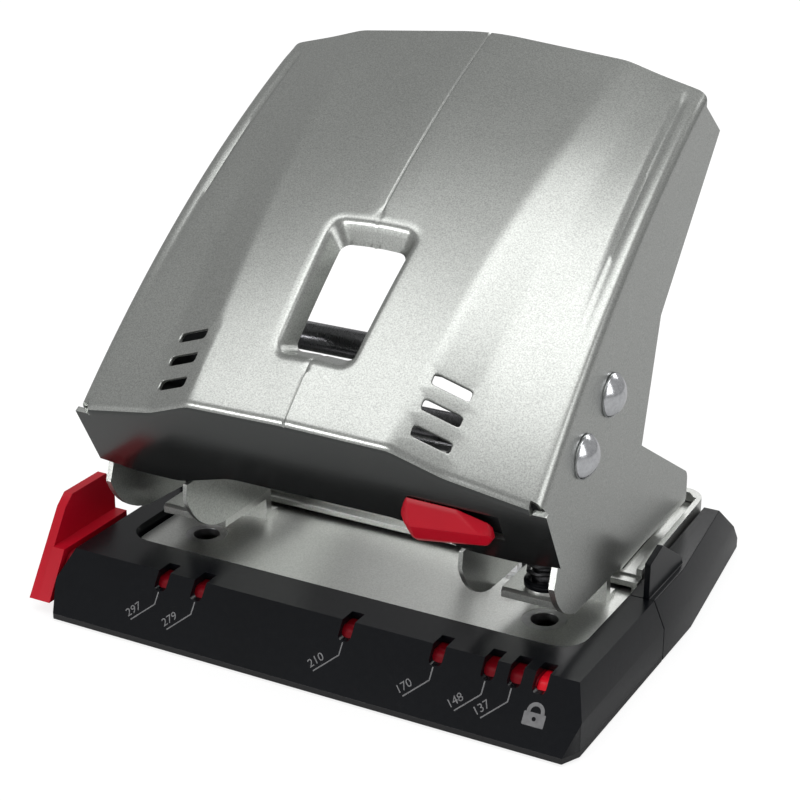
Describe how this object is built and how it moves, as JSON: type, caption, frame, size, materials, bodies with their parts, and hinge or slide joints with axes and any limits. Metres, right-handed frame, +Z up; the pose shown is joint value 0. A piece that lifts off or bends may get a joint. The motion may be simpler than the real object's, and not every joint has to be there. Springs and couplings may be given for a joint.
{
  "type": "two-hole paper punch",
  "caption": "Heavy-duty lever punch for two holes: creased silver handle over a black base, with a sliding paper guide, a lock button and a chip tray.",
  "frame": {"origin": "centre of the rubber sole's underside, on the punch's plane of symmetry", "axes": "+X to the user's right, +Y to the rear, +Z up"},
  "size_m": [0.1255, 0.1023, 0.114],
  "materials": {
    "silver_paint": "metallic satin",
    "black_plastic": "fine satin moulding",
    "red_plastic": "gloss",
    "bare_steel": "brushed",
    "dark_steel": "dark satin",
    "chrome": "polished",
    "rubber": "matt"
  },
  "bodies": {
    "base": {"base_housing": "black_plastic", "base_floor": "black_plastic", "rubber_sole": "rubber", "floor_screws": "bare_steel", "bed_pan": "silver_paint", "bed_screws": "bare_steel", "die_bush_left": "bare_steel", "die_bush_right": "bare_steel", "punch_tower_left": "silver_paint", "punch_tower_right": "silver_paint", "tower_rivets": "bare_steel", "pin_ring_left": "black_plastic", "pin_ring_right": "black_plastic", "return_spring_left": "bare_steel", "return_spring_right": "bare_steel", "hinge_bracket_left": "bare_steel", "hinge_bracket_right": "bare_steel", "pivot_axle": "bare_steel", "lock_striker": "bare_steel"},
    "handle": {"handle_shell": "silver_paint", "lever_plate_left": "dark_steel", "lever_plate_right": "dark_steel", "upper_shaft": "dark_steel", "lower_shaft": "dark_steel", "shaft_caps": "chrome", "press_block_left": "dark_steel", "press_block_right": "dark_steel"},
    "pin_left": {"punch_pin_left": "bare_steel"},
    "pin_right": {"punch_pin_right": "bare_steel"},
    "lock": {"lock_button": "red_plastic", "lock_latch": "black_plastic"},
    "guide": {"guide_stop": "red_plastic", "guide_bar": "red_plastic", "guide_pointer": "red_plastic"},
    "tray": {"chip_tray": "black_plastic"}
  },
  "joints": [
    {"name": "handle_hinge", "type": "hinge", "parent": "base", "child": "handle", "pos_m": [0, 0.027, 0.022], "axis": [1, 0, 0], "range_deg": [0, 6.9], "stiffness_Nm_per_rad": 5, "springref_deg": -6.88},
    {"name": "pin_left_drop", "type": "slide", "parent": "base", "child": "pin_left", "axis": [0, 0, -1], "range_m": [0, 0.00559], "deforming": ["return_spring_left"]},
    {"name": "pin_right_drop", "type": "slide", "parent": "base", "child": "pin_right", "axis": [0, 0, -1], "range_m": [0, 0.00559], "deforming": ["return_spring_right"]},
    {"name": "lock_slide", "type": "slide", "parent": "handle", "child": "lock", "axis": [1, 0, 0], "range_m": [0, 0.005]},
    {"name": "guide_slide", "type": "slide", "parent": "base", "child": "guide", "axis": [-1, 0, 0], "range_m": [0, 0.0852]},
    {"name": "tray_slide", "type": "slide", "parent": "base", "child": "tray", "axis": [0, 1, 0], "range_m": [0, 0.062]}
  ],
  "couplings": [
    {"joint": "pin_left_drop", "follows": "handle_hinge", "m_per_rad": 0.04634},
    {"joint": "pin_right_drop", "follows": "handle_hinge", "m_per_rad": 0.04634}
  ]
}
